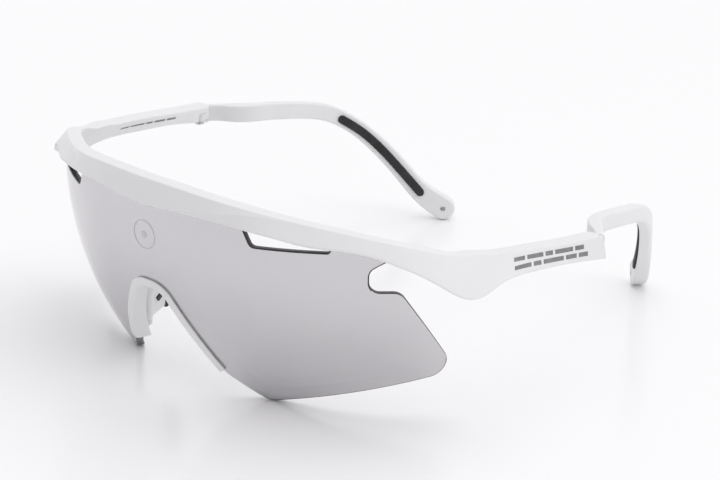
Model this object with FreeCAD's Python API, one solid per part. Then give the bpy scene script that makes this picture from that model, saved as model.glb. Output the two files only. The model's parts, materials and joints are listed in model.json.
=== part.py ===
import FreeCAD, Part
import math
import os
from FreeCAD import Vector, Rotation, Placement

# Wraparound sport sunglasses, open.  Millimetres, +Z up, the lens faces -Y,
# +X is the wearer's left.  Every left piece is built at +X and its twin is mirrored.

# ---- lens: one toric shield ----
LENS_AXIS_Y = 61.5          # upright axis of the horizontal lens curve
LENS_R_FLAT = 71.5          # horizontal radius of the outer face at the equator
LENS_R_TALL = 76.5          # vertical radius of the outer face
LENS_EQUATOR_Z = 43.65      # height of the equator above the floor
LENS_T = 1.6                # lens thickness
GROOVE_GAP = 0.06           # play between lens and frame groove

# Lens outline, right half: (distance round the face from the middle, height, corner radius).
NOSE_NOTCH = [(4.3, 26.3, 6.0), (17.5, 6.1, 9.0)]
LOWER_LOBE = [(28.4, -0.6, 7.0), (79.3, 11.0, 4.4)]
SIDE_NOTCH = [(63.3, 33.1, 3.2), (56.1, 33.1, 2.5), (56.1, 38.3, 2.3)]
OUTER_TAB = [(60.6, 40.9, 0.5), (63.5, 40.9, 0.3), (63.5, 43.0, 0.5)]
TOP_EDGE = [(50.0, 44.9, 20.0), (34.0, 47.2, 40.0), (16.0, 50.6, 40.0)]
VENT_SLOT = [(26.9, 46.8, 0.3), (29.3, 41.95, 1.3), (46.9, 42.4, 0.5), (48.0, 44.2, 0.3)]

# ---- brow frame: one bar that turns the corner into the side panels ----
BROW_R = 73.6               # outer face of the bar over the lens
# Over the lens: angle round the lens axis, lower lip height, upper crease height, crease radius.
BROW_ARC = [
    (0, 46.8, 53.1, 73.0), (8, 47.2, 52.9, 73.0), (16, 47.0, 52.1, 73.1),
    (22, 46.2, 50.9, 72.3), (28, 45.2, 49.5, 71.4), (34, 43.9, 48.2, 70.9),
    (40, 43.3, 46.9, 70.9),
]
# Round the corner and down the side panel: lower outer edge, then upper outer edge.
BROW_SIDE = [
    ((53.5, 9.9, 42.0), (52.0, 12.4, 45.4)),
    ((59.5, 14.6, 39.6), (56.0, 16.2, 44.3)),
    ((65.2, 18.9, 36.3), (60.0, 22.0, 42.5)),
    ((68.7, 22.6, 33.8), (62.2, 26.6, 41.2)),
    ((69.8, 27.0, 33.3), (63.6, 31.0, 40.9)),
    ((69.7, 31.8, 34.3), (64.7, 35.5, 40.1)),
    ((69.3, 37.0, 35.0), (65.6, 40.5, 39.5)),
    ((68.9, 46.0, 34.4), (66.4, 48.0, 38.8)),
    ((68.4, 59.0, 32.7), (67.2, 60.0, 37.5)),
    ((68.0, 71.8, 30.6), (67.6, 70.6, 36.6)),
]
BROW_DEPTH_LOW = 4.7        # front to back of the bar at its lip
BROW_DEPTH_HIGH = 3.7       # front to back of the bar along its top
PANEL_DEPTH = 4.8           # thickness of the side panel
INNER_LIFT = [0, 0, 0, 0, 0, 0, 0, 0.4, 1.3, 1.3]   # rise of the panel's inner lower edge
BROW_BEVEL = 0.45           # broken edges of the bar

# ---- hinge ----
HINGE_X = 65.1
HINGE_Y = 68.4
HINGE_R = 1.75              # knuckle radius
EAR_R = 2.35                # rounding of the frame's ears behind the hinge
NECK_W = 2.0                # width of the neck between knuckle and arm
KNUCKLE_LOW = 33.0          # lower face of the arm's knuckle
KNUCKLE_HIGH = 34.9         # upper face of the arm's knuckle
WASHER_T = 0.25
WASHER_R = 1.65
AXIAL_GAP = 0.05
SWING_GAP = 0.28            # air round the knuckle
SKIN_X = 67.0               # inner side of the outer skin that hides the hinge
SCREW_R = 0.70
SCREW_HEAD_R = 1.20
SCREW_HEAD_T = 0.45
SCREW_BORE_GAP = 0.04
SCREW_SEAT = 0.35           # plastic left between the screw head and the pocket
INSERT_R = 1.15
INSERT_T = 0.85

# ---- temple arm: centre line, section height, section thickness ----
ARM = [
    (65.7, 71.8, 34.0, 4.3, 2.2), (63.6, 73.9, 34.1, 4.3, 2.3), (60.4, 76.6, 34.2, 4.4, 3.6),
    (58.0, 79.6, 34.2, 4.5, 3.4), (56.8, 83.9, 33.9, 4.5, 3.0), (55.7, 90.0, 33.1, 4.4, 3.0),
    (54.5, 96.5, 32.0, 4.3, 3.0), (52.9, 102.0, 30.6, 4.3, 3.0), (51.2, 106.2, 28.5, 4.3, 3.0),
    (48.6, 110.7, 25.1, 4.4, 3.0), (45.2, 115.5, 19.8, 4.7, 3.1), (41.7, 119.9, 13.6, 4.9, 3.3),
    (38.2, 123.8, 7.6, 5.3, 3.7), (35.6, 126.4, 4.7, 5.9, 4.0), (33.4, 128.5, 2.8, 5.9, 4.0),
]
ARM_INNER_BEVEL = 0.4       # broken edges of the flat inner face
ARM_OUTER_DROP = 1.0        # height and width of the sloping edges of the outer face
ARM_OUTER_WIDE = 1.4
TIP_STEP = 0.4              # broken edge of the round tip
STRAP_HOLE_R = 0.75
STRAP_HOLE_BACK = 0.4       # hole centre, in front of the last station

# ---- rubber ear grip: round-ended strip let into the inner face of the hook ----
GRIP_FROM = 8               # arm stations at the centres of the strip's two round ends
GRIP_TO = 12
GRIP_HALF = 1.1             # half the strip's height
GRIP_IN = 0.75              # depth let into the arm
GRIP_OUT = 0.55             # amount standing proud
GRIP_PLAY = 0.02            # adhesive line round the strip

# ---- nose piece ----
RIM_LAP = 1.1               # rim over the front of the lens edge
RIM_LAP_BACK = 2.6          # rim behind the lens edge
RIM_INTO = 1.0              # rim past the edge into the notch
RIM_FRONT_T = 0.7
RIM_BACK_T = 1.3
WING_TOP = Vector(5.6, -2.9, 25.6)       # adjusting axis of the left wing
WING_FOOT = Vector(15.2, 5.0, 8.8)
WING_DIRECTION = Vector(0.30, 0.90, -0.30)
WIRE_R = 0.55
WIRE_GAP = 0.03
BARREL_R = 1.15
LUG_LENGTH = 1.9
LUG_GAP = 0.15
WING_T = 1.3
PAD_T = 3.0
WING_OUTLINE = [(2.3, 0.0), (2.3, 5.2), (4.4, 8.6), (8.3, 10.2), (12.6, 8.6), (15.9, 4.0), (15.9, 0.0)]
PAD_OUTLINE = [(0.9, 4.9), (3.2, 9.3), (8.2, 11.6), (13.6, 9.6), (17.2, 4.2), (14.4, 4.0), (8.2, 5.0)]
WINDOW = [(7.2, 2.6), (9.4, 1.9), (10.6, 3.3), (8.4, 4.0)]

FLOOR_LIFT = 0.14           # raises the model so its lowest point rests at z = 0
MIDDLE_Y = 59.84            # the origin lies under the middle of the depth


# ---------------------------------------------------------------- helpers
def lens_radius(z, offset=0.0):
    """Distance of the lens face from its upright axis at height z."""
    tall = LENS_R_TALL + offset
    return LENS_R_FLAT - LENS_R_TALL + math.sqrt(tall ** 2 - (z - LENS_EQUATOR_Z) ** 2)


def on_lens(s, z, offset=0.0):
    """Point on the lens face: s along the curve from the middle, z up."""
    angle = s / LENS_R_FLAT
    radius = lens_radius(z, offset)
    return Vector(radius * math.sin(angle), LENS_AXIS_Y - radius * math.cos(angle), z)


def on_arc(degrees, radius, z):
    """Point on an upright cylinder round the lens axis."""
    angle = math.radians(degrees)
    return Vector(radius * math.sin(angle), LENS_AXIS_Y - radius * math.cos(angle), z)


def rounded_outline(corners):
    """Closed chain of pieces, lines and corner arcs, each as a list of (s, z) points."""
    count = len(corners)
    arcs = []
    for i, (s, z, radius) in enumerate(corners):
        here = Vector(s, z, 0)
        back = Vector(*corners[i - 1][:2], 0) - here
        ahead = Vector(*corners[(i + 1) % count][:2], 0) - here
        half = back.getAngle(ahead) / 2
        cut = radius / math.tan(half)
        start = here + back.normalize() * cut
        end = here + ahead.normalize() * cut
        middle = here + (back + ahead).normalize() * (radius / math.sin(half))
        steps = 2 if radius < 1 else 5
        points = []
        for k in range(steps + 1):
            chord = start + (end - start) * (k / steps)
            points.append(middle + (chord - middle).normalize() * radius)
        arcs.append(points)
    pieces = []
    for i in range(count):
        pieces.append(arcs[i])
        start = arcs[i][-1]
        end = arcs[(i + 1) % count][0]
        pieces.append([start + (end - start) * (k / 4) for k in range(5)])
    return [[(p.x, p.y) for p in piece] for piece in pieces]


def lens_prism(corners):
    """Solid whose walls stand square to the lens and follow the rounded outline."""
    centre = Vector(0, LENS_AXIS_Y, LENS_EQUATOR_Z)
    wires = []
    for reach in (0.70, 1.12):
        edges = []
        for piece in rounded_outline(corners):
            points = [centre + (on_lens(s, z) - centre) * reach for s, z in piece]
            curve = Part.BSplineCurve()
            curve.interpolate(points)
            edges.append(curve.toShape())
        wires.append(Part.Wire(edges))
    return Part.makeLoft(wires, True, True)


def lens_shell(outward, inward):
    """Toric shell from outward in front of the outer lens face to inward behind it."""
    rows = []
    for offset in (outward, -inward):
        rows.append([on_lens(0, z, offset) for z in (-6.0, 24.0, 56.0)])
    front = Part.Arc(*rows[0]).toShape()
    rear = Part.Arc(*rows[1]).toShape()
    top = Part.makeLine(rows[0][2], rows[1][2])
    foot = Part.makeLine(rows[0][0], rows[1][0])
    profile = Part.Face(Part.Wire([front, top, rear, foot]))
    profile.rotate(Vector(0, LENS_AXIS_Y, 0), Vector(0, 0, 1), -80)
    return profile.revolve(Vector(0, LENS_AXIS_Y, 0), Vector(0, 0, 1), 160)


def both_sides(corners):
    """Mirror a half outline so that it runs once round the whole shape."""
    return corners + [(-s, z, r) for s, z, r in reversed(corners)]


def rail_solid(sections, stride=4):
    """Solid skinned through matching polygons, one smooth rail per corner.

    The skin is divided at every few sections; the rails run on without a break.
    """
    count = len(sections[0])
    middles = [sum(section, Vector()) * (1.0 / count) for section in sections]
    stations = [0.0]
    for here, ahead in zip(middles, middles[1:]):
        stations.append(stations[-1] + (ahead - here).Length)
    rails = []
    for k in range(count):
        curve = Part.BSplineCurve()
        curve.interpolate(Points=[section[k] for section in sections], Parameters=stations)
        rails.append(curve)
    faces = []
    last = len(sections) - 1
    for start in range(0, last, stride):
        span = (stations[start], stations[min(start + stride, last)])
        edges = [rail.toShape(*span) for rail in rails]
        for k in range(count):
            faces.append(Part.makeRuledSurface(edges[k], edges[(k + 1) % count]))
    for section, middle in ((sections[0], middles[0]), (sections[-1], middles[-1])):
        for k in range(count):
            corner = Part.makePolygon([middle, section[k], section[(k + 1) % count], middle])
            faces.append(Part.Face(corner))
    shell = Part.Shell(faces)
    shell.sewShape()
    solid = Part.Solid(shell)
    if solid.Volume < 0:
        solid.reverse()
    return solid


def mirrored(shape):
    return shape.mirror(Vector(0, 0, 0), Vector(1, 0, 0))


def upright_cylinder(radius, low, high):
    """Cylinder on the left hinge axis."""
    return Part.makeCylinder(radius, high - low, Vector(HINGE_X, HINGE_Y, low))


# ---------------------------------------------------------------- lens
def lens_outline():
    return both_sides(NOSE_NOTCH + LOWER_LOBE + SIDE_NOTCH + OUTER_TAB + TOP_EDGE)


def shield_lens():
    lens = lens_shell(0.0, LENS_T).common(lens_prism(lens_outline()))
    slot = lens_prism(VENT_SLOT)
    return lens.cut(slot).cut(mirrored(slot))


# ---------------------------------------------------------------- brow frame
def brow_section(lower, upper, inward, depth_low, depth_high, lift):
    """Bevelled four-sided section between the lower and upper outer edges."""
    face = (upper - lower).normalize()
    b = BROW_BEVEL
    inner_low = lower + inward * depth_low + Vector(0, 0, lift)
    inner_high = upper + inward * depth_high
    rise = (inner_high - inner_low).normalize()
    return [
        lower + face * b, upper - face * 0.2, upper + inward * 0.2,
        inner_high - inward * b, inner_high - rise * b,
        inner_low + rise * b, inner_low - inward * b, lower + inward * b,
    ]


def brow_edges():
    """Lower and upper outer edge points from the middle to the panel end."""
    edges = []
    for degrees, low, high, radius in BROW_ARC:
        edges.append((on_arc(degrees, BROW_R, low), on_arc(degrees, radius, high)))
    for low, high in BROW_SIDE:
        edges.append((Vector(*low), Vector(*high)))
    return edges


def brow_bar():
    edges = brow_edges()
    half = []
    for i, (low, high) in enumerate(edges):
        ahead = edges[min(i + 1, len(edges) - 1)]
        behind = edges[max(i - 1, 0)]
        run = (ahead[0] + ahead[1]) - (behind[0] + behind[1])
        inward = Vector(-run.y, run.x, 0).normalize()
        if i == 0:
            inward = Vector(0, 1, 0)
        past = i - len(BROW_ARC)
        side = min(max(past / 5.0, 0.0), 1.0)
        depth_low = BROW_DEPTH_LOW + (PANEL_DEPTH - BROW_DEPTH_LOW) * side
        depth_high = BROW_DEPTH_HIGH + (PANEL_DEPTH - BROW_DEPTH_HIGH) * side
        lift = INNER_LIFT[past] if past >= 0 else 0
        half.append(brow_section(low, high, inward, depth_low, depth_high, lift))
    other = [[Vector(-p.x, p.y, p.z) for p in section] for section in reversed(half[1:])]
    return rail_solid(other + half)


def pocket_low():
    return KNUCKLE_LOW - AXIAL_GAP - WASHER_T


def pocket_high():
    return KNUCKLE_HIGH + AXIAL_GAP + WASHER_T


def hinge_pocket():
    """Room for the arm's knuckle between the ears, open to the inside and the back."""
    low = pocket_low()
    high = pocket_high()
    reach = HINGE_R + SWING_GAP
    pocket = upright_cylinder(reach, low, high)
    corner = Vector(HINGE_X - 12, HINGE_Y - reach, low)
    pocket = pocket.fuse(Part.makeBox(12, 12, high - low, corner))
    behind = Vector(HINGE_X - 12, HINGE_Y, low)
    return pocket.fuse(Part.makeBox(12 + SKIN_X - HINGE_X, 12, high - low, behind))


def ear_trim():
    """Rounds the ears off behind the hinge and leaves only the outer skin."""
    block = Part.makeBox(SKIN_X - HINGE_X + 12, 12, 20, Vector(HINGE_X - 12, HINGE_Y, 26))
    return block.cut(upright_cylinder(EAR_R, 20, 50))


def brow_frame():
    groove_outline = both_sides(
        [(63.7, 38.0, 0.5), (63.7, 43.2, 0.5)]
        + [(s, z + 0.2, r) for s, z, r in TOP_EDGE])
    groove = lens_shell(GROOVE_GAP, LENS_T + GROOVE_GAP).common(lens_prism(groove_outline))
    frame = brow_bar().cut(groove)
    cutter = hinge_pocket().fuse(ear_trim())
    cutter = cutter.fuse(upright_cylinder(SCREW_R + SCREW_BORE_GAP, 25, KNUCKLE_HIGH))
    cutter = cutter.fuse(upright_cylinder(SCREW_HEAD_R + SCREW_BORE_GAP, 25, head_seat()))
    cutter = cutter.fuse(upright_cylinder(INSERT_R, KNUCKLE_HIGH, insert_top()))
    return frame.cut(cutter).cut(mirrored(cutter))


def head_seat():
    return pocket_low() - SCREW_SEAT


def insert_top():
    return pocket_high() + INSERT_T


# ---------------------------------------------------------------- hinge hardware
def hinge_screw():
    """Slotted screw put in from below, its head let into the lower ear."""
    shank = upright_cylinder(SCREW_R, head_seat(), insert_top() - 0.1)
    head = upright_cylinder(SCREW_HEAD_R, head_seat() - SCREW_HEAD_T, head_seat())
    slot_floor = head_seat() - SCREW_HEAD_T + 0.3
    slot = Part.makeBox(4, 0.35, 2, Vector(HINGE_X - 2, HINGE_Y - 0.175, slot_floor - 2))
    return shank.fuse(head).cut(slot).removeSplitter()


def hinge_insert():
    """Threaded ring moulded into the upper ear."""
    ring = upright_cylinder(INSERT_R, pocket_high(), insert_top())
    return ring.cut(upright_cylinder(SCREW_R, 20, 50))


def hinge_washer(low):
    ring = upright_cylinder(WASHER_R, low, low + WASHER_T)
    return ring.cut(upright_cylinder(SCREW_R + SCREW_BORE_GAP, 20, 50))


# ---------------------------------------------------------------- temple arm
def arm_frames():
    """Centre, upward, outward directions and sizes of every arm station."""
    frames = []
    for i, (x, y, z, tall, thick) in enumerate(ARM):
        ahead = Vector(*ARM[min(i + 1, len(ARM) - 1)][:3])
        behind = Vector(*ARM[max(i - 1, 0)][:3])
        run = (ahead - behind).normalize()
        outward = run.cross(Vector(0, 0, 1)).normalize()
        upward = outward.cross(run)
        frames.append((Vector(x, y, z), upward, outward, tall, thick))
    return frames


def arm_section(centre, upward, outward, tall, thick):
    """Section across the arm: flat inner face, domed outer face."""
    a = tall / 2
    b = thick / 2
    drop = ARM_OUTER_DROP
    wide = ARM_OUTER_WIDE
    inner = ARM_INNER_BEVEL
    corners = [
        (-a + drop, b), (a - drop, b), (a, b - wide), (a, -b + inner),
        (a - inner, -b), (-a + inner, -b), (-a, -b + inner), (-a, b - wide),
    ]
    return [centre + upward * u + outward * v for u, v in corners]


def arm_body():
    body = rail_solid([arm_section(*frame) for frame in arm_frames()])
    centre, upward, outward, tall, thick = arm_frames()[-1]
    for radius, width in ((tall / 2 - TIP_STEP, thick), (tall / 2 - 0.05, thick - 2 * TIP_STEP)):
        tip = Part.makeCylinder(radius, width, centre - outward * (width / 2), outward)
        body = body.fuse(tip)
    return body


def knuckle():
    """Round knuckle and the neck that carries it."""
    round_part = upright_cylinder(HINGE_R, KNUCKLE_LOW, KNUCKLE_HIGH)
    start = Vector(HINGE_X, HINGE_Y, 0)
    end = Vector(ARM[0][0], ARM[0][1] + 0.5, 0)
    run = end - start
    corner = Vector(0, -NECK_W / 2, KNUCKLE_LOW)
    neck = Part.makeBox(run.Length, NECK_W, KNUCKLE_HIGH - KNUCKLE_LOW, corner)
    angle = math.degrees(math.atan2(run.y, run.x))
    neck.Placement = Placement(start, Rotation(Vector(0, 0, 1), angle))
    return round_part.fuse(neck)


def grip_strip(inner, outer, half):
    """Round-ended strip following the inner face of the hook."""
    sections = []
    ends = []
    frames = arm_frames()
    for i in range(GRIP_FROM, GRIP_TO + 1):
        centre, upward, outward, tall, thick = frames[i]
        face = centre - outward * (thick / 2)
        near = face + outward * inner
        far = face - outward * outer
        sections.append([
            near - upward * half, far - upward * half,
            far + upward * half, near + upward * half,
        ])
        ends.append(Part.makeCylinder(half, inner + outer, far, outward))
    return rail_solid(sections).fuse(ends[0]).fuse(ends[-1])


def strap_hole():
    """Where the cord hole sits and which way it points."""
    last = Vector(*ARM[-1][:3])
    run = (last - Vector(*ARM[-2][:3])).normalize()
    outward = run.cross(Vector(0, 0, 1)).normalize()
    return last - run * STRAP_HOLE_BACK, outward


def temple_arm():
    arm = arm_body().fuse(knuckle())
    arm = arm.cut(upright_cylinder(SCREW_R + SCREW_BORE_GAP, 20, 50))
    arm = arm.cut(grip_strip(GRIP_IN + GRIP_PLAY, 1.2, GRIP_HALF + GRIP_PLAY))
    centre, outward = strap_hole()
    hole = Part.makeCylinder(STRAP_HOLE_R, 12, centre - outward * 6, outward)
    return arm.cut(hole)


def ear_grip():
    return grip_strip(GRIP_IN, GRIP_OUT, GRIP_HALF)


# ---------------------------------------------------------------- nose piece
def notch_band(outward, into):
    """Strip of prism along the notch, from outward over the lens to into the opening."""
    (s1, z1, r1), (s2, z2, r2) = NOSE_NOTCH
    slope = Vector(s2 - s1, z2 - z1, 0).normalize()
    normal = Vector(-slope.y, slope.x, 0)
    top_shift = math.tan(math.acos(normal.y) / 2)

    def path(shift):
        upper = (s1 + shift * top_shift, z1 + shift, r1 + shift)
        lower = Vector(s2, z2, 0) + normal * shift
        return upper, lower

    outer_top, outer_low = path(outward)
    inner_top, inner_low = path(-into)
    outline = [outer_top, (outer_low.x, outer_low.y, 0.6), (inner_low.x, inner_low.y, 0.6), inner_top]
    mirror = [(-s, z, r) for s, z, r in outline]
    right = outline
    left = [mirror[3], mirror[2], mirror[1], mirror[0]]
    return lens_prism(right + left)


def nose_rim():
    front = lens_shell(RIM_FRONT_T, 0.3).common(notch_band(RIM_LAP, RIM_INTO))
    middle = lens_shell(0.3, LENS_T + 0.3).common(notch_band(RIM_LAP, RIM_INTO))
    back = lens_shell(-LENS_T, LENS_T + RIM_BACK_T).common(notch_band(RIM_LAP_BACK, RIM_INTO))
    return front.fuse(middle).fuse(back)


def wing_frame():
    """Placement with x along the adjusting axis and y back along the wing."""
    along = (WING_TOP - WING_FOOT).normalize()
    across = along.cross(WING_DIRECTION).normalize()
    back = across.cross(along).normalize()
    return Placement(WING_FOOT, Rotation(along, back, across, "ZXY"))


def wing_length():
    return (WING_TOP - WING_FOOT).Length


def flat_plate(outline, thick):
    """Plate of the given outline centred on the wing plane."""
    points = [Vector(u, v, -thick / 2) for u, v in outline]
    face = Part.Face(Part.makePolygon(points + points[:1]))
    return face.extrude(Vector(0, 0, thick))


def axis_rod(radius, start, end):
    return Part.makeCylinder(radius, end - start, Vector(start, 0, 0), Vector(1, 0, 0))


def nose_lugs():
    """Two eyes on the rim that carry one wing's wire."""
    length = wing_length()
    eyes = axis_rod(BARREL_R, 0, LUG_LENGTH).fuse(axis_rod(BARREL_R, length - LUG_LENGTH, length))
    for start in (0, length - LUG_LENGTH):
        eyes = eyes.fuse(Part.makeBox(LUG_LENGTH, 2.6, 1.6, Vector(start, -2.6, -0.8)))
    eyes.Placement = wing_frame()
    return eyes


def wire_bore(gap):
    bore = axis_rod(WIRE_R + gap, -3, wing_length() + 3)
    bore.Placement = wing_frame()
    return bore


def nose_bridge():
    bridge = nose_rim()
    for lugs in (nose_lugs(), mirrored(nose_lugs())):
        bridge = bridge.fuse(lugs)
    lens_room = lens_shell(GROOVE_GAP, LENS_T + GROOVE_GAP).common(lens_prism(lens_outline()))
    bridge = bridge.cut(lens_room)
    return bridge.cut(wire_bore(0.0)).cut(mirrored(wire_bore(0.0)))


def nose_wire():
    wire = axis_rod(WIRE_R, 0, wing_length())
    wire.Placement = wing_frame()
    return wire


def nose_wing():
    """White carrier plate with its barrel and the window for the pad's key."""
    length = wing_length()
    barrel = axis_rod(BARREL_R, LUG_LENGTH + LUG_GAP, length - LUG_LENGTH - LUG_GAP)
    wing = flat_plate(WING_OUTLINE, WING_T).fuse(barrel)
    wing = wing.cut(flat_plate(WINDOW, 5))
    wing.Placement = wing_frame()
    return wing.cut(wire_bore(WIRE_GAP))


def nose_key():
    """Black plug in the wing's window that anchors the pad."""
    key = flat_plate(WINDOW, WING_T + 0.5)
    key.Placement = wing_frame()
    return key


def nose_pad():
    """Soft black pad wrapped round the rear edge of the wing."""
    pad = flat_plate(PAD_OUTLINE, PAD_T)
    pad.Placement = wing_frame()
    return pad.cut(nose_wing())


# ---------------------------------------------------------------- assembly
def build():
    nodes = {}
    nodes["shield_lens"] = shield_lens()
    nodes["brow_frame"] = brow_frame()
    nodes["nose_bridge"] = nose_bridge()
    pairs = {
        "temple_arm": temple_arm(),
        "ear_grip": ear_grip(),
        "hinge_screw": hinge_screw(),
        "hinge_insert": hinge_insert(),
        "hinge_washer_low": hinge_washer(pocket_low()),
        "hinge_washer_high": hinge_washer(KNUCKLE_HIGH + AXIAL_GAP),
        "nose_wire": nose_wire(),
        "nose_wing": nose_wing(),
        "nose_key": nose_key(),
        "nose_pad": nose_pad(),
    }
    for name, shape in pairs.items():
        nodes[name + "_left"] = shape
        nodes[name + "_right"] = mirrored(shape)
    return nodes


os.makedirs("parts", exist_ok=True)
for node, solid in build().items():
    solid.translate(Vector(0, -MIDDLE_Y, FLOOR_LIFT))
    solid.exportStep("parts/" + node + ".step")
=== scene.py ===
import json
import math
from collections import namedtuple

import bmesh
import bpy
import numpy as np
from mathutils import Matrix, Vector
from mathutils.geometry import delaunay_2d_cdt


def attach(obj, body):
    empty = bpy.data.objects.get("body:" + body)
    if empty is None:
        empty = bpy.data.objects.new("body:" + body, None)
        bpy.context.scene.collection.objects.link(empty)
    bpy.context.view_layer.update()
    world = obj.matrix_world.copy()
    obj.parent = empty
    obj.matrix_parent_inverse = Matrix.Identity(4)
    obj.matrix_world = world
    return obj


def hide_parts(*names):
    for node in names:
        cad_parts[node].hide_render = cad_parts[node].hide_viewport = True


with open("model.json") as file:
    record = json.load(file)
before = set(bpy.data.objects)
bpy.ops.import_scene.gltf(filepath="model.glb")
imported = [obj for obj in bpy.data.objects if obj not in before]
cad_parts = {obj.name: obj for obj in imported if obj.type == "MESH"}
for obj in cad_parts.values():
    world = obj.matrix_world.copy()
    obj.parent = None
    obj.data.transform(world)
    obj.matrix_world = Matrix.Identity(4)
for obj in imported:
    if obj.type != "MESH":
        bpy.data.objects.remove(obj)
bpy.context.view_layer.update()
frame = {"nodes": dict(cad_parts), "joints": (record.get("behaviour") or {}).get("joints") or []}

# Shapes are drawn in millimetres in the drawing frame: +X the wearer's left, -Y forwards,
# +Z up from the floor.  Left pieces are drawn and their twins are mirrored.
MM = 0.001
HINGE_X, HINGE_Y, HINGE_Z = 65.1, 68.4, 33.95      # left hinge, drawing frame
FOLD = next(j for j in frame["joints"] if j["name"] == "fold_left")
SHIFT = Vector(FOLD["pos_m"]) - Vector((HINGE_X, HINGE_Y, HINGE_Z)) * MM

# ---- meshing ----
EDGE_CLEAR = 0.55          # free strip along a plate's edge, in mesh spacings
ROD_SIDES = 48

# ---- lens ----
LENS_AXIS_Y = 61.5
LENS_R_FLAT = 71.5
LENS_R_TALL = 76.5
LENS_EQUATOR_Z = 43.65
LENS_T = 1.6
LENS_EDGE = 0.34           # polished edge rounding
LENS_PITCH = 1.3           # mesh spacing
EDGE_TILT = 0.015          # a lens face leaning more than this belongs to the dark edge
NOSE_NOTCH = [(4.3, 26.3, 6.0), (17.5, 6.1, 9.0)]
LOWER_LOBE = [(28.4, -0.6, 7.0), (79.3, 11.0, 4.4)]
SIDE_NOTCH = [(63.3, 33.1, 3.2), (56.1, 33.1, 2.5), (56.1, 38.3, 2.3)]
OUTER_TAB = [(60.6, 40.9, 0.5), (63.5, 40.9, 0.3), (63.5, 43.0, 0.5)]
TOP_EDGE = [(50.0, 44.9, 20.0), (34.0, 47.2, 40.0), (16.0, 50.6, 40.0)]
VENT_SLOT = [(26.9, 46.8, 0.3), (29.3, 41.95, 1.3), (46.9, 42.4, 0.5), (48.0, 44.2, 0.3)]

# ---- brow frame ----
BROW_R = 73.6
# angle round the lens axis, lip height, top crease height, crease radius, facet height share
BROW_ARC = [
    (0, 46.8, 53.1, 73.0, 0.0), (8, 47.2, 52.9, 73.0, 0.02), (16, 47.0, 52.1, 73.1, 0.36),
    (22, 46.2, 50.9, 72.3, 0.72), (28, 45.2, 49.5, 71.4, 0.95), (34, 43.9, 48.2, 70.9, 1.0),
    (40, 43.3, 46.9, 70.9, 1.0),
]
BROW_SIDE = [
    ((53.5, 9.9, 42.0), (52.0, 12.4, 45.4)),
    ((59.5, 14.6, 39.6), (56.0, 16.2, 44.3)),
    ((65.2, 18.9, 36.3), (60.0, 22.0, 42.5)),
    ((68.7, 22.6, 33.8), (62.2, 26.6, 41.2)),
    ((69.8, 27.0, 33.3), (63.6, 31.0, 40.9)),
    ((69.7, 31.8, 34.3), (64.7, 35.5, 40.1)),
    ((69.3, 37.0, 35.0), (65.6, 40.5, 39.5)),
    ((68.9, 46.0, 34.4), (66.4, 48.0, 38.8)),
    ((68.4, 59.0, 32.7), (67.2, 60.0, 37.5)),
    ((68.0, 71.8, 30.6), (67.6, 70.6, 36.6)),
]
BROW_DEPTH_LOW = 4.7
BROW_DEPTH_HIGH = 3.7
PANEL_DEPTH = 4.8
INNER_LIFT = [0, 0, 0, 0, 0, 0, 0, 0.4, 1.3, 1.3]   # rise of the panel's inner lower edge
FACET_TURN = 0.40          # angle between the two front facets, radians
FACET_LOWEST = 0.14        # the crease stays between these shares of the height
FACET_HIGHEST = 0.88
CORNER_STATIONS = 5        # stations over which the bar's section turns into the panel's
BROW_ROUNDING = (0.5, 0.3, 0.28, 0.6, 0.5)          # at each corner, from the lip round
BROW_STEP = 1.1            # spacing of sections along the bar
GROOVE_END = [(63.7, 38.0, 0.5), (63.7, 43.2, 0.5)]
GROOVE_DEEPER = 0.2        # groove above the lens edge

# ---- hinge ----
HINGE_R = 1.75
EAR_R = 2.35
NECK_W = 2.0
KNUCKLE_LOW = 33.0
KNUCKLE_HIGH = 34.9
WASHER_ROOM = 0.30
SWING_GAP = 0.28
SKIN_X = 67.0
ROOM_REACH = 12            # the cut runs this far, past the inner face and the end of the panel
LOW_CUT, HIGH_CUT = 20, 50                           # cutting rods start and end here, clear of the ears
TRIM_LOW, TRIM_HIGH = 26, 46
BORE_LOW, BORE_HIGH = 25, 34                        # the screw's bore ends between the ears
HEAD_BORE_LOW = 24.5
SCREW_SEAT = 0.35
INSERT_T = 0.85
SCREW_BORE_R = 0.74
HEAD_BORE_R = 1.24
HEAD_SEAT = KNUCKLE_LOW - WASHER_ROOM - SCREW_SEAT
INSERT_R = 1.15
INSERT_TOP = KNUCKLE_HIGH + WASHER_ROOM + INSERT_T

# ---- plain printed marks: strip lengths along the panels ----
MARK_PROUD = 0.05
MARK_SUNK = 4              # the strips reach this many times deeper than they stand out
MARK_GAP = 0.8
MARK_FROM_Y = 28           # the panel's straight part starts here
MARK_UPPER = [3.4, 5.2, 2.4, 6.0, 3.0]
MARK_LOWER = [5.6, 2.6, 7.0, 3.8, 3.2]
MARK_INNER = [2.8, 4.6, 2.2, 3.6, 3.0]
MARK_RING_Z = 38.6
RING_SIDES = 64

# ---- temple arm: centre line, height, thickness ----
ARM = [
    (65.7, 71.8, 34.0, 4.3, 2.2), (63.6, 73.9, 34.1, 4.3, 2.3), (60.4, 76.6, 34.2, 4.4, 3.6),
    (58.0, 79.6, 34.2, 4.5, 3.4), (56.8, 83.9, 33.9, 4.5, 3.0), (55.7, 90.0, 33.1, 4.4, 3.0),
    (54.5, 96.5, 32.0, 4.3, 3.0), (52.9, 102.0, 30.6, 4.3, 3.0), (51.2, 106.2, 28.5, 4.3, 3.0),
    (48.6, 110.7, 25.1, 4.4, 3.0), (45.2, 115.5, 19.8, 4.7, 3.1), (41.7, 119.9, 13.6, 4.9, 3.3),
    (38.2, 123.8, 7.6, 5.3, 3.7), (35.6, 126.4, 4.7, 5.9, 4.0), (33.4, 128.5, 2.8, 5.9, 4.0),
]
ARM_ROUND_OUT = 1.15
ARM_ROUND_IN = 0.5
ARM_SECTIONS = 90
TIP_SECTIONS = 8
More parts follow.
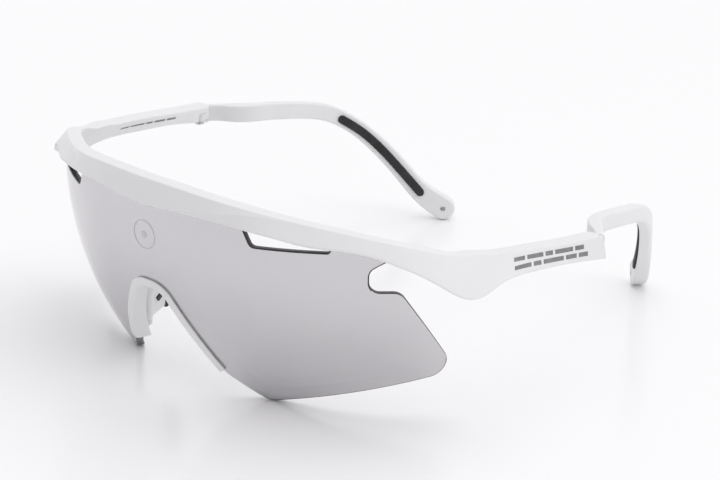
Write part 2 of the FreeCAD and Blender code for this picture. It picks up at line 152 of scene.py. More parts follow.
TIP_LAST_TURN = 86         # degrees; the round tip stops just short of a point
TIP_THIN = 0.45            # how much of its thickness the tip loses
GRIP_SECTIONS = 44
GRIP_END_SECTIONS = 8
GRIP_END_TURN = 10.5       # degrees between the sections of a round end
GRIP_PLAY = 0.02
STRAP_HOLE_R = 0.75
STRAP_HOLE_BACK = 0.4
GRIP_FROM = 8
GRIP_TO = 12
GRIP_HALF = 1.1
GRIP_IN = 0.75
GRIP_OUT = 0.55

# ---- nose piece ----
RIM_FRONT_T = 0.7
RIM_BACK_T = 1.3
RIM_LAP = 1.1
RIM_LAP_BACK = 2.6
RIM_INTO = 1.0
RIM_ROUNDING = (0.55, 0.4, 0.12, 0.05, 0.05, 0.2, 0.5, 0.6)   # at each corner of the clip
LENS_PLAY = 0.06
WING_TOP = Vector((5.6, -2.9, 25.6))
WING_FOOT = Vector((15.2, 5.0, 8.8))
WING_DIRECTION = Vector((0.30, 0.90, -0.30))
WING_T = 1.3
BARREL_R = 1.15
WIRE_BORE_R = 0.58
LUG_LENGTH = 1.9
LUG_GAP = 0.15
LUG_BACK = 2.6             # the lug's web, from the wire into the rim
LUG_HALF = 0.8
BORE_PAST = 3.0            # the wire bore runs past the wing's ends
PAD_T = 2.3
PAD_CROWN = 0.35
WING_OUTLINE = [(2.3, 0.0, 0.3), (2.3, 5.2, 0.8), (4.4, 8.6, 1.2), (8.3, 10.2, 2.0),
                (12.6, 8.6, 1.6), (15.9, 4.0, 0.8), (15.9, 0.0, 0.3)]
PAD_OUTLINE = [(0.9, 4.9, 0.7), (3.2, 9.3, 2.0), (8.2, 11.6, 3.0), (13.6, 9.6, 2.2),
               (17.2, 4.2, 0.7), (14.4, 4.0, 0.8), (8.2, 5.0, 3.0)]
WINDOW = [(7.2, 2.6, 0.15), (9.4, 1.9, 0.15), (10.6, 3.3, 0.15), (8.4, 4.0, 0.15)]


# ---------------------------------------------------------------- curves and sections
def unit(vector):
    return vector / np.linalg.norm(vector)


def spline_through(knots, values, at):
    """Natural cubic spline through values at the knots, read at the given parameters."""
    knots = np.asarray(knots, float)
    values = np.asarray(values, float)
    gap = np.diff(knots)
    slope = np.diff(values, axis=0) / gap[:, None]
    system = np.eye(len(knots))
    right = np.zeros_like(values)
    for i in range(1, len(knots) - 1):
        system[i, i - 1:i + 2] = gap[i - 1], 2 * (gap[i - 1] + gap[i]), gap[i]
        right[i] = 6 * (slope[i] - slope[i - 1])
    bend = np.linalg.solve(system, right)
    i = np.clip(np.searchsorted(knots, at, side="right") - 1, 0, len(gap) - 1)
    h = gap[i][:, None]
    a = (knots[i + 1] - at)[:, None] / h
    b = 1 - a
    return (a * values[i] + b * values[i + 1]
            + ((a ** 3 - a) * bend[i] + (b ** 3 - b) * bend[i + 1]) * h ** 2 / 6)


def stations_of(points):
    """Running length along a chain of points."""
    steps = np.linalg.norm(np.diff(points, axis=0), axis=1)
    return np.concatenate([[0.0], np.cumsum(steps)])


def rounded(corners, radii, steps=4):
    """Closed loop with every corner replaced by an arc of a fixed number of points."""
    loop = []
    count = len(corners)
    for i in range(count):
        here = corners[i]
        back = corners[i - 1] - here
        ahead = corners[(i + 1) % count] - here
        reach = 0.48 * min(np.linalg.norm(back), np.linalg.norm(ahead))
        back, ahead = unit(back), unit(ahead)
        half = math.acos(max(-1.0, min(1.0, float(back @ ahead)))) / 2
        cut = min(radii[i] / math.tan(half), reach) if half < 1.55 else 0.02
        start, end = here + back * cut, here + ahead * cut
        for k in range(steps + 1):
            t = k / steps
            loop.append((1 - t) ** 2 * start + 2 * t * (1 - t) * here + t ** 2 * end)
    return np.array(loop)


def rounded_loop(corners, pitch):
    """Closed flat loop of (u, v) points from (u, v, radius) corners, true arcs and even runs."""
    count = len(corners)
    arcs = []
    for i, (u, v, radius) in enumerate(corners):
        here = np.array((u, v))
        back = unit(np.array(corners[i - 1][:2]) - here)
        ahead = unit(np.array(corners[(i + 1) % count][:2]) - here)
        half = math.acos(float(back @ ahead)) / 2
        middle = here + unit(back + ahead) * radius / math.sin(half)
        start = here + back * radius / math.tan(half)
        end = here + ahead * radius / math.tan(half)
        steps = max(3, math.ceil((math.pi - 2 * half) * radius / (0.6 * pitch)))
        arc = []
        for k in range(steps + 1):
            chord = start + (end - start) * k / steps
            arc.append(middle + unit(chord - middle) * radius)
        arcs.append(arc)
    loop = []
    for i, arc in enumerate(arcs):
        loop += arc
        start, end = arc[-1], arcs[(i + 1) % count][0]
        runs = max(1, math.ceil(np.linalg.norm(end - start) / pitch))
        loop += [start + (end - start) * k / runs for k in range(1, runs)]
    return np.array(loop)


def both_sides(corners):
    return corners + [(-s, z, r) for s, z, r in reversed(corners)]


def signed_area(loop):
    ahead = np.roll(loop, -1, axis=0)
    return 0.5 * float(np.sum(loop[:, 0] * ahead[:, 1] - loop[:, 1] * ahead[:, 0]))


def inset(loop, distance):
    """The loop moved to its left, into the material."""
    run = np.roll(loop, -1, axis=0) - np.roll(loop, 1, axis=0)
    run /= np.linalg.norm(run, axis=1)[:, None]
    return loop + np.stack([-run[:, 1], run[:, 0]], axis=1) * distance


def inside(points, loop):
    """Which points lie inside a closed loop."""
    x, y = points[:, 0], points[:, 1]
    result = np.zeros(len(points), bool)
    for (x0, y0), (x1, y1) in zip(loop, np.roll(loop, -1, axis=0)):
        crosses = (y0 > y) != (y1 > y)
        if y0 != y1:
            result ^= crosses & (x < (x1 - x0) * (y - y0) / (y1 - y0) + x0)
    return result


def distance_to(points, loops):
    every = np.concatenate(loops)
    return np.sqrt(((points[:, None, :] - every[None, :, :]) ** 2).sum(2)).min(1)


# ---------------------------------------------------------------- solids in millimetres
def work_solid(verts, faces):
    """Closed mesh object in millimetres, with merged corners and outward faces."""
    mesh = bpy.data.meshes.new("work")
    mesh.from_pydata([tuple(map(float, v)) for v in verts], [], faces)
    bm = bmesh.new()
    bm.from_mesh(mesh)
    bmesh.ops.remove_doubles(bm, verts=bm.verts, dist=1e-4)
    bmesh.ops.recalc_face_normals(bm, faces=bm.faces)
    bm.to_mesh(mesh)
    bm.free()
    solid = bpy.data.objects.new("work", mesh)
    bpy.context.scene.collection.objects.link(solid)
    return solid


def loft(rings):
    """Closed skin through equal rings with flat ends."""
    rings = np.asarray(rings)
    count, size = rings.shape[:2]
    faces = [tuple(reversed(range(size)))]
    for i in range(count - 1):
        for k in range(size):
            a, b = i * size + k, i * size + (k + 1) % size
            faces.append((a, b, b + size, a + size))
    faces.append(tuple(range((count - 1) * size, count * size)))
    return work_solid(rings.reshape(-1, 3), faces)


def inside_all(points, loops):
    """Which points lie inside the first loop and outside every other one."""
    result = inside(points, loops[0])
    for hole in loops[1:]:
        result &= ~inside(points, hole)
    return result


def filled_loops(loops, pitch):
    """Triangles between an outline and its holes: flat points, then corner numbers."""
    low, high = loops[0].min(0), loops[0].max(0)
    across = np.arange(low[0], high[0], pitch)
    up = np.arange(low[1], high[1], pitch)
    grid = np.array([(u + (j % 2) * pitch / 2, v) for j, v in enumerate(up) for u in across])
    grid = grid[inside_all(grid, loops) & (distance_to(grid, loops) > EDGE_CLEAR * pitch)]
    edges = []
    start = 0
    for loop in loops:
        size = len(loop)
        edges += [(start + k, start + (k + 1) % size) for k in range(size)]
        start += size
    flat = np.concatenate(loops + [grid])
    found = delaunay_2d_cdt([Vector(p) for p in flat], edges, [], 0, 1e-7)
    flat = np.array([tuple(p) for p in found[0]])
    middles = np.array([flat[list(face)].mean(0) for face in found[2]])
    wanted = inside_all(middles, loops)
    return flat, [tuple(face) for face, kept in zip(found[2], wanted) if kept]


def edge_levels(thick, edge, steps):
    """Inset and height of every line down a rounded edge, top face first."""
    turns = [math.pi / 2 * (1 - k / steps) for k in range(steps + 1)]
    upper = [(edge * (1 - math.cos(turn)), thick / 2 - edge * (1 - math.sin(turn))) for turn in turns]
    return upper + [(inward, -height) for inward, height in reversed(upper)]


def plate(outline, holes, thick, edge, pitch, mapping, crown=0.0, reach=1.0, steps=4):
    """Plate with rounded edges, drawn flat as (u, v) loops and bent to shape by the mapping."""
    loops = [rounded_loop(outline, pitch)] + [rounded_loop(hole, pitch) for hole in holes]
    for i, loop in enumerate(loops):
        if (signed_area(loop) < 0) == (i == 0):
            loops[i] = loop[::-1]
    inner = [inset(loop, edge) for loop in loops]
    flat, triangles = filled_loops(inner, pitch)
    bulge = np.minimum(distance_to(flat, inner) / reach, 1.0)
    rise = thick / 2 + crown * (1 - (1 - bulge) ** 2)
    size = len(flat)
    rows = [np.column_stack([flat, rise]), np.column_stack([flat, -rise])]
    faces = triangles + [tuple(size + k for k in reversed(face)) for face in triangles]
    base = 2 * size
    levels = edge_levels(thick, edge, steps)
    for loop in loops:
        count = len(loop)
        for inward, height in levels:
            rows.append(np.column_stack([inset(loop, inward), np.full(count, height)]))
        for j in range(len(levels) - 1):
            for k in range(count):
                a, b = base + j * count + k, base + j * count + (k + 1) % count
                faces.append((a, b, b + count, a + count))
        base += len(levels) * count
    points = np.concatenate(rows)
    return work_solid(mapping(points[:, 0], points[:, 1], points[:, 2]), faces)


def cylinder(radius, start, end):
    """Round rod between two points."""
    start, end = np.array(start, float), np.array(end, float)
    along = unit(end - start)
    side = unit(np.cross(along, (0.31, 0.77, 0.55)))
    other = np.cross(along, side)
    ring = [side * math.cos(t) + other * math.sin(t)
            for t in np.linspace(0, 2 * math.pi, ROD_SIDES, endpoint=False)]
    return loft([[p + d * radius for d in ring] for p in (start, end)])


def upright(radius, low, high):
    return cylinder(radius, (HINGE_X, HINGE_Y, low), (HINGE_X, HINGE_Y, high))


def block(low, high):
    (x0, y0, z0), (x1, y1, z1) = low, high
    return loft([[(x0, y0, z), (x1, y0, z), (x1, y1, z), (x0, y1, z)] for z in (z0, z1)])


def combine(base, tool, operation):
    """Boolean of two work solids; the tool is used up."""
    step = base.modifiers.new("combine", "BOOLEAN")
    step.operation = operation
    step.object = tool
    step.solver = "EXACT"
    bpy.context.view_layer.update()
    graph = bpy.context.evaluated_depsgraph_get()
    base_mesh = bpy.data.meshes.new_from_object(base.evaluated_get(graph))
    base.modifiers.clear()
    base.data = base_mesh
    bpy.data.objects.remove(tool)
    return base


def mirrored(solid):
    """Copy of a work solid on the other side of the middle plane."""
    mesh = solid.data.copy()
    mesh.transform(Matrix.Scale(-1, 4, (1, 0, 0)))
    mesh.flip_normals()
    twin = bpy.data.objects.new(solid.name, mesh)
    bpy.context.scene.collection.objects.link(twin)
    return twin


def publish(solid, name, node, body, materials, sharp_degrees=40):
    """Turns a work solid into a finished piece in metres, in place of its CAD node if it has one."""
    mesh = solid.data
    mesh.transform(Matrix.Translation(SHIFT) @ Matrix.Scale(MM, 4))
    mesh.materials.clear()
    for material in materials:
        mesh.materials.append(material)
    mesh.shade_smooth()
    mesh.set_sharp_from_angle(angle=math.radians(sharp_degrees))
    solid.name = name
    mesh.name = name
    weighted = solid.modifiers.new("weighted", "WEIGHTED_NORMAL")
    weighted.keep_sharp = True
    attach(solid, body)
    if node:
        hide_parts(node)
    return solid


# ---------------------------------------------------------------- lens
def on_lens(s, z, offset):
    """Points on the lens: s round the face, z up, offset outwards from the outer face."""
    radius = LENS_R_FLAT - LENS_R_TALL + np.sqrt((LENS_R_TALL + offset) ** 2 - (z - LENS_EQUATOR_Z) ** 2)
    angle = s / LENS_R_FLAT
    return np.stack([radius * np.sin(angle), LENS_AXIS_Y - radius * np.cos(angle), z + 0 * s], axis=-1)


def lens_outline():
    return both_sides(NOSE_NOTCH + LOWER_LOBE + SIDE_NOTCH + OUTER_TAB + TOP_EDGE)


def make_lens(front_material, edge_material):
    slots = [VENT_SLOT, [(-s, z, r) for s, z, r in reversed(VENT_SLOT)]]
    lens = plate(lens_outline(), slots, LENS_T, LENS_EDGE, LENS_PITCH,
                 lambda s, z, w: on_lens(s, z, w - LENS_T / 2), steps=3)
    publish(lens, "lens", "shield_lens", "front", [front_material, edge_material], 25)
    for face in lens.data.polygons:
        outward = Vector((face.center.x, face.center.y - LENS_AXIS_Y * MM - SHIFT.y, 0)).normalized()
        flatness = abs(Vector((face.normal.x, face.normal.y, 0)).dot(outward))
        rise = (face.center.z / MM - LENS_EQUATOR_Z) / LENS_R_TALL
        if abs(flatness - math.sqrt(max(0.0, 1 - rise ** 2))) > EDGE_TILT:
            face.material_index = 1
    return lens


# ---------------------------------------------------------------- brow frame
def on_arc(degrees, radius, z):
    angle = math.radians(degrees)
    return np.array((radius * math.sin(angle), LENS_AXIS_Y - radius * math.cos(angle), z))


def brow_corners():
    """Lip, facet crease, top crease, rear top and rear low corner at every station of one half."""
    edges = []
    for degrees, low, high, radius, share in BROW_ARC:
        edges.append((on_arc(degrees, BROW_R, low), on_arc(degrees, radius, high), share))
    edges += [(np.array(low), np.array(high), 1.0) for low, high in BROW_SIDE]
    sections = []
    for i, (low, high, share) in enumerate(edges):
        ahead = edges[min(i + 1, len(edges) - 1)]
        behind = edges[max(i - 1, 0)]
        run = (ahead[0] + ahead[1]) - (behind[0] + behind[1])
        inward = unit(np.array((-run[1], run[0], 0.0)))
        if i == 0:
            inward = np.array((0.0, 1.0, 0.0))
        past = i - len(BROW_ARC)
        side = min(max(past / CORNER_STATIONS, 0.0), 1.0)
        depth_low = BROW_DEPTH_LOW + (PANEL_DEPTH - BROW_DEPTH_LOW) * side
        depth_high = BROW_DEPTH_HIGH + (PANEL_DEPTH - BROW_DEPTH_HIGH) * side
        lift = INNER_LIFT[past] if past >= 0 else 0
        face = high - low
        ridge = np.linalg.norm(face) * FACET_TURN * share * (1 - share)
        crease = low + face * min(max(share, FACET_LOWEST), FACET_HIGHEST) - inward * ridge
        rear_high = high + inward * depth_high
        rear_low = low + inward * depth_low + np.array((0, 0, lift))
        sections.append((low, crease, high, rear_high, rear_low))
    return np.array(sections)


def brow_rails():
    """Corner lines of the whole bar, from the right panel round to the left one."""
    half = brow_corners()
    flip = np.array((-1.0, 1.0, 1.0))
    corners = np.concatenate([half[:0:-1] * flip, half])
    knots = stations_of(corners[:, (0, 2, 3, 4)].mean(1))
    count = round(knots[-1] / BROW_STEP)
    at = np.linspace(0, knots[-1], count)
    return spline_through(knots, corners.reshape(len(corners), -1), at).reshape(count, 5, 3)


def brow_bar():
    return loft([rounded(section, BROW_ROUNDING) for section in brow_rails()])


def hinge_room():
    """Everything cut away for the arm's knuckle, the screw and its insert."""
    low, high = KNUCKLE_LOW - WASHER_ROOM, KNUCKLE_HIGH + WASHER_ROOM
    reach = HINGE_R + SWING_GAP
    inner_x, back_y = HINGE_X - ROOM_REACH, HINGE_Y + ROOM_REACH
    room = upright(reach, low, high)
    room = combine(room, block((inner_x, HINGE_Y - reach, low), (HINGE_X, back_y, high)), "UNION")
    room = combine(room, block((inner_x, HINGE_Y, low), (SKIN_X, back_y, high)), "UNION")
    trim = block((inner_x, HINGE_Y, TRIM_LOW), (SKIN_X, back_y + 0.5, TRIM_HIGH))
    trim = combine(trim, upright(EAR_R, LOW_CUT, HIGH_CUT), "DIFFERENCE")
    room = combine(room, trim, "UNION")
    room = combine(room, upright(SCREW_BORE_R, BORE_LOW, BORE_HIGH), "UNION")
    room = combine(room, upright(HEAD_BORE_R, HEAD_BORE_LOW, HEAD_SEAT), "UNION")
    return combine(room, upright(INSERT_R, BORE_HIGH, INSERT_TOP), "UNION")


def lens_groove():
    """Room for the top of the lens."""
    raised = [(s, z + GROOVE_DEEPER, r) for s, z, r in TOP_EDGE]
    thick = LENS_T + 2 * LENS_PLAY
    return plate(both_sides(GROOVE_END + raised), [], thick, 0.05, 2.5,
                 lambda s, z, w: on_lens(s, z, w - LENS_T / 2), steps=1)


def make_brow(material):
    bar = combine(brow_bar(), lens_groove(), "DIFFERENCE")
    room = hinge_room()
    bar = combine(bar, mirrored(room), "DIFFERENCE")
    bar = combine(bar, room, "DIFFERENCE")
    return publish(bar, "brow_bar", "brow_frame", "front", [material])


# ---------------------------------------------------------------- temple arms
Station = namedtuple("Station", "centre upward outward run half_tall half_thick")


def arm_stations():
    """Centre, directions and half sizes at every station of the arm."""
    found = []
    for i, (x, y, z, tall, thick) in enumerate(ARM):
        run = unit(np.array(ARM[min(i + 1, len(ARM) - 1)][:3]) - np.array(ARM[max(i - 1, 0)][:3]))
        outward = unit(np.cross(run, (0, 0, 1)))
        upward = np.cross(outward, run)
        found.append(Station(np.array((x, y, z)), upward, outward, run, tall / 2, thick / 2))
    return found


def arm_section(middle, station, tall, thin):
    """Corners round the arm: outer low, outer high, inner high and inner low."""
    return [middle + station.upward * u + station.outward * v
            for u, v in ((-tall, thin), (tall, thin), (tall, -thin), (-tall, -thin))]


def arm_rails(count):
    corners = []
    for station in arm_stations():
        corners.append(arm_section(station.centre, station, station.half_tall, station.half_thick))
    corners = np.array(corners)
    knots = stations_of(corners.mean(1))
    at = np.linspace(0, knots[-1], count)
    return spline_through(knots, corners.reshape(len(corners), -1), at).reshape(count, 4, 3)


def arm_body():
    """Arm with a round tip."""
    rails = list(arm_rails(ARM_SECTIONS))
    tip = arm_stations()[-1]
    for turn in range(1, TIP_SECTIONS + 1):
        angle = math.radians(min(90 * turn / TIP_SECTIONS, TIP_LAST_TURN))
        tall = tip.half_tall * math.cos(angle)
        thin = tip.half_thick * (1 - TIP_THIN + TIP_THIN * math.cos(angle))
        middle = tip.centre + tip.run * (tip.half_tall - 0.05) * math.sin(angle)
        rails.append(np.array(arm_section(middle, tip, tall, thin)))
    rounding = (ARM_ROUND_OUT, ARM_ROUND_OUT, ARM_ROUND_IN, ARM_ROUND_IN)
    return loft([rounded(section, rounding) for section in rails])


def knuckle():
    """Round knuckle and the neck that carries it."""
    start = np.array((HINGE_X, HINGE_Y, 0.0))
    end = np.array((ARM[0][0], ARM[0][1] + 0.5, 0.0))
    along = unit(end - start)
    side = np.array((-along[1], along[0], 0.0)) * NECK_W / 2
    flat = (start - side, end - side, end + side, start + side)
    rings = [[p + np.array((0, 0, z)) for p in flat] for z in (KNUCKLE_LOW, KNUCKLE_HIGH)]
    return combine(upright(HINGE_R, KNUCKLE_LOW, KNUCKLE_HIGH), loft(rings), "UNION")


def grip_section(middle, station, inner, outer, tall):
    near = middle - station.outward * (station.half_thick - inner)
    far = middle - station.outward * (station.half_thick + outer)
    up = station.upward * tall
    return np.array([near - up, far - up, far + up, near + up])


def grip_strip(inner, outer, half, corner):
    """Round-ended strip along the inner face of the hook."""
    kept = arm_stations()[GRIP_FROM:GRIP_TO + 1]
    sections = np.array([grip_section(s.centre, s, inner, outer, half) for s in kept])
    knots = stations_of(sections.mean(1))
    at = np.linspace(0, knots[-1], GRIP_SECTIONS)
    rails = spline_through(knots, sections.reshape(len(sections), -1), at)
    rails = list(rails.reshape(GRIP_SECTIONS, 4, 3))
    first, last = kept[0], kept[-1]
    for turn in range(1, GRIP_END_SECTIONS + 1):
        angle = math.radians(turn * GRIP_END_TURN)
        reach, tall = half * math.sin(angle), half * math.cos(angle)
        rails.insert(0, grip_section(first.centre - first.run * reach, first, inner, outer, tall))
        rails.append(grip_section(last.centre + last.run * reach, last, inner, outer, tall))
    return loft([rounded(ring, (0.05, corner, corner, 0.05)) for ring in rails])


def make_arms(white, rubber):
    arm = combine(arm_body(), knuckle(), "UNION")
    arm = combine(arm, upright(SCREW_BORE_R, LOW_CUT, HIGH_CUT), "DIFFERENCE")
    seat = grip_strip(GRIP_IN + GRIP_PLAY, 1.2, GRIP_HALF + GRIP_PLAY, 0.02)
    arm = combine(arm, seat, "DIFFERENCE")
    tip = arm_stations()[-1]
    back = np.array(ARM[-2][:3]) - np.array(ARM[-1][:3])
    hole = tip.centre + unit(back) * STRAP_HOLE_BACK
    bore = cylinder(STRAP_HOLE_R, hole - tip.outward * 6, hole + tip.outward * 6)
    arm = combine(arm, bore, "DIFFERENCE")
    grip = grip_strip(GRIP_IN, GRIP_OUT, GRIP_HALF, 0.3)
    for side, arm_solid, grip_solid in (("right", mirrored(arm), mirrored(grip)), ("left", arm, grip)):
        body = "temple_" + side
        publish(arm_solid, "arm_" + side, "temple_arm_" + side, body, [white])
        publish(grip_solid, "grip_" + side, "ear_grip_" + side, body, [rubber])


# ---------------------------------------------------------------- nose piece
def notch_path():
    """Points and outward directions along the notch edge, from the left foot over to the right."""
    (s1, z1, r1), (s2, z2, _) = NOSE_NOTCH
    corners = [(-s2, z2, 0.3), (-s1, z1, r1), (s1, z1, r1), (s2, z2, 0.3)]
    below = z2 - 8
    loop = rounded_loop(corners + [(s2, below, 0.3), (-s2, below, 0.3)], 0.7)
    notch = loop[loop[:, 1] > z2 + 0.4]
    path = notch[np.argsort(notch[:, 0])]
    run = np.gradient(path, axis=0)
    run /= np.linalg.norm(run, axis=1)[:, None]
    return path, np.stack([-run[:, 1], run[:, 0]], axis=1)


def rim_profile():
    """Clip section: distance over the lens, height above the outer face, corner rounding."""
    back = -(LENS_T + LENS_PLAY)
    corners = [
        (-RIM_INTO, RIM_FRONT_T), (RIM_LAP, RIM_FRONT_T), (RIM_LAP, LENS_PLAY),
        (-LENS_PLAY, LENS_PLAY), (-LENS_PLAY, back), (RIM_LAP_BACK, back),
        (RIM_LAP_BACK, back - RIM_BACK_T), (-RIM_INTO, back - RIM_BACK_T),
    ]
    return rounded(np.array(corners), RIM_ROUNDING, 3)


def nose_rim():
    path, outward = notch_path()
    profile = rim_profile()
    rings = []
    for (s, z), (ds, dz) in zip(path, outward):
        rings.append(on_lens(s + ds * profile[:, 0], z + dz * profile[:, 0], profile[:, 1]))
    return loft(rings)


def wing_axes():
    along = (WING_TOP - WING_FOOT).normalized()
    across = along.cross(WING_DIRECTION).normalized()
    return np.array(along), np.array(across.cross(along)), np.array(across)


def on_wing(u, v, w):
    along, back, across = wing_axes()
    u, v, w = (np.asarray(c, float)[..., None] for c in (u, v, w))
    return np.array(WING_FOOT) + u * along + v * back + w * across


def wing_rod(radius, start, end):
    return cylinder(radius, on_wing(start, 0, 0), on_wing(end, 0, 0))


def wing_block(start, end, low_v, high_v, half_w):
    flat = ((low_v, -half_w), (high_v, -half_w), (high_v, half_w), (low_v, half_w))
    return loft([[on_wing(u, v, w) for v, w in flat] for u in (start, end)])


def nose_lugs():
    length = (WING_TOP - WING_FOOT).length
    eyes = None
    for start in (0, length - LUG_LENGTH):
        eye = combine(wing_rod(BARREL_R, start, start + LUG_LENGTH),
                      wing_block(start, start + LUG_LENGTH, -LUG_BACK, 0.0, LUG_HALF), "UNION")
        eyes = eye if eyes is None else combine(eyes, eye, "UNION")
    return eyes


def make_nose(white, rubber):
    length = (WING_TOP - WING_FOOT).length
    lugs = nose_lugs()
    bridge = combine(nose_rim(), mirrored(lugs), "UNION")
    bridge = combine(bridge, lugs, "UNION")
    bore = wing_rod(WIRE_BORE_R, -BORE_PAST, length + BORE_PAST)
    bridge = combine(bridge, mirrored(bore), "DIFFERENCE")
    bridge = combine(bridge, bore, "DIFFERENCE")
    publish(bridge, "nose_rim", "nose_bridge", "front", [white])

    wing = plate(WING_OUTLINE, [WINDOW], WING_T, 0.3, 0.6, on_wing)
    wing = combine(wing, wing_rod(BARREL_R, LUG_LENGTH + LUG_GAP, length - LUG_LENGTH - LUG_GAP), "UNION")
    wing = combine(wing, wing_rod(WIRE_BORE_R, -BORE_PAST, length + BORE_PAST), "DIFFERENCE")
    pad = plate(PAD_OUTLINE, [], PAD_T, 0.9, 0.5, on_wing, crown=PAD_CROWN, reach=2.5, steps=5)
    pad = combine(pad, plate(WING_OUTLINE, [], WING_T, 0.3, 0.6, on_wing), "DIFFERENCE")
    key = plate(WINDOW, [], WING_T + 0.5, 0.15, 0.4, on_wing, steps=3)
    for side, turn in (("right", mirrored), ("left", lambda solid: solid)):
        body = "nose_wing_" + side
        publish(turn(wing), "wing_" + side, "nose_wing_" + side, body, [white])
        publish(turn(pad), "pad_" + side, "nose_pad_" + side, body, [rubber])
        publish(turn(key), "key_" + side, "nose_key_" + side, body, [rubber])


# ---------------------------------------------------------------- materials
def new_material(name):
    material = bpy.data.materials.new(name)
    material.use_nodes = True
    nodes = material.node_tree.nodes
    return material, nodes, material.node_tree.links, nodes["Principled BSDF"]


def noise(nodes, links, scale, detail=2.0):
    """Object-space noise; scale is per metre."""
    place = nodes.new("ShaderNodeTexCoord")
    texture = nodes.new("ShaderNodeTexNoise")
    texture.inputs["Scale"].default_value = scale
    texture.inputs["Detail"].default_value = detail
    links.new(place.outputs["Object"], texture.inputs["Vector"])
    return texture.outputs["Fac"]


def ramp(nodes, links, source, low, high, low_at=0.3, high_at=0.7):
    """Maps a value onto the range from low to high, numbers or colours."""
    curve = nodes.new("ShaderNodeValToRGB")
    for stop, value, at in zip(curve.color_ramp.elements, (low, high), (low_at, high_at)):
        stop.position = at
        stop.color = (value, value, value, 1) if isinstance(value, float) else (*value, 1)
    links.new(source, curve.inputs["Fac"])
    return curve.outputs["Color"]


def grain(nodes, links, shader, layers):
    """Stacked bump layers, each of (scale per metre, height in metres, strength)."""
    below = None
    for scale, height, strength in layers:
        bump = nodes.new("ShaderNodeBump")
        bump.inputs["Distance"].default_value = height
        bump.inputs["Strength"].default_value = strength
        links.new(noise(nodes, links, scale, 3.0), bump.inputs["Height"])
        if below is not None:
            links.new(below, bump.inputs["Normal"])
        below = bump.outputs["Normal"]
    links.new(below, shader.inputs["Normal"])


def mottled_material(name, colours, colour_scale, roughness, rough_scale):
    """Material whose colour and roughness each vary between two values; scales are per metre."""
    material, nodes, links, shader = new_material(name)
    tone = ramp(nodes, links, noise(nodes, links, colour_scale), *colours)
    links.new(tone, shader.inputs["Base Color"])
    sheen = ramp(nodes, links, noise(nodes, links, rough_scale), *roughness)
    links.new(sheen, shader.inputs["Roughness"])
    return material, nodes, links, shader


def white_nylon():
    colours = (0.77, 0.77, 0.78), (0.80, 0.795, 0.805)
    material, nodes, links, shader = mottled_material("white_nylon", colours, 60, (0.36, 0.46), 900)
    shader.inputs["Subsurface Weight"].default_value = 0.08
    shader.inputs["Subsurface Radius"].default_value = (0.6, 0.6, 0.6)
    shader.inputs["Subsurface Scale"].default_value = 0.001
    grain(nodes, links, shader, [(2600, 0.00003, 0.25), (90, 0.0002, 0.04)])
    return material


def black_rubber():
    colours = (0.012, 0.012, 0.013), (0.022, 0.022, 0.024)
    material, nodes, links, shader = mottled_material("black_rubber", colours, 220, (0.55, 0.75), 1500)
    grain(nodes, links, shader, [(3200, 0.00004, 0.4)])
    return material


def printed(name, dark, light):
    return mottled_material(name, (dark, light), 400, (0.4, 0.6), 1800)[0]


def mirror_lens():
    """Mirror coating that lets a little light through."""
    colours = (0.655, 0.645, 0.665), (0.685, 0.67, 0.69)
    material, _, _, shader = mottled_material("mirror_lens", colours, 25, (0.02, 0.05), 500)
    shader.inputs["Metallic"].default_value = 1.0
    shader.inputs["Alpha"].default_value = 0.90
    return material


def lens_edge():
    colours = (0.03, 0.03, 0.035), (0.05, 0.05, 0.055)
    material, _, _, shader = mottled_material("lens_edge", colours, 400, (0.15, 0.3), 900)
    shader.inputs["Specular IOR Level"].default_value = 0.25
    return material


def metal(name, dark, light, rough):
    roughness = rough, rough + 0.15
    material, nodes, links, shader = mottled_material(name, (dark, light), 700, roughness, 2500)
    shader.inputs["Metallic"].default_value = 1.0
    grain(nodes, links, shader, [(4000, 0.00002, 0.3)])
    return material


def plain_plastic(name, dark, light, rough):
    roughness = rough, rough + 0.1
    material, nodes, links, shader = mottled_material(name, (dark, light), 500, roughness, 2500)
    grain(nodes, links, shader, [(3000, 0.00002, 0.2)])
    return material


def dress_hardware():
    """Materials for the small pieces that keep their CAD shape."""
    looks = {
        "hinge_screw": metal("screw_steel", (0.50, 0.50, 0.51), (0.62, 0.62, 0.63), 0.25),
        "hinge_insert": metal("insert_brass", (0.62, 0.46, 0.22), (0.74, 0.58, 0.32), 0.3),
        "hinge_washer_low": plain_plastic("washer_nylon", (0.70, 0.70, 0.68), (0.78, 0.78, 0.76), 0.3),
        "nose_wire": plain_plastic("core_black", (0.015, 0.015, 0.016), (0.03, 0.03, 0.032), 0.45),
    }
    looks["hinge_washer_high"] = looks["hinge_washer_low"]
    for stem, material in looks.items():
        for side in ("left", "right"):
            node = frame["nodes"][stem + "_" + side]
            node.data.materials.clear()
            node.data.materials.append(material)


# ---------------------------------------------------------------- plain printed marks
def panel_dashes(outside, dashes):
    """Low strips along the left panel, each (share of height, start y, end y, half height)."""
    rails = brow_rails()
    rails = rails[(rails[:, 0, 0] > 0) & (rails[:, 0, 1] > MARK_FROM_Y)]
    low, high = (rails[:, 0], rails[:, 2]) if outside else (rails[:, 4], rails[:, 3])
    out = np.array((MARK_PROUD if outside else -MARK_PROUD, 0.0, 0.0))
    solid = None
    for share, start, end, tall in dashes:
        line = low + (high - low) * share
        slope = (high - low) / np.linalg.norm(high - low, axis=1)[:, None]
        rings = []
        for y in np.linspace(start, end, 6):
            middle = np.array([np.interp(y, line[:, 1], line[:, k]) for k in range(3)])
            up = np.array([np.interp(y, line[:, 1], slope[:, k]) for k in range(3)]) * tall
            sunk = out * MARK_SUNK
            rings.append([middle - up - sunk, middle - up + out, middle + up + out, middle + up - sunk])
        strip = loft(rings)
        solid = strip if solid is None else combine(solid, strip, "UNION")
    return solid


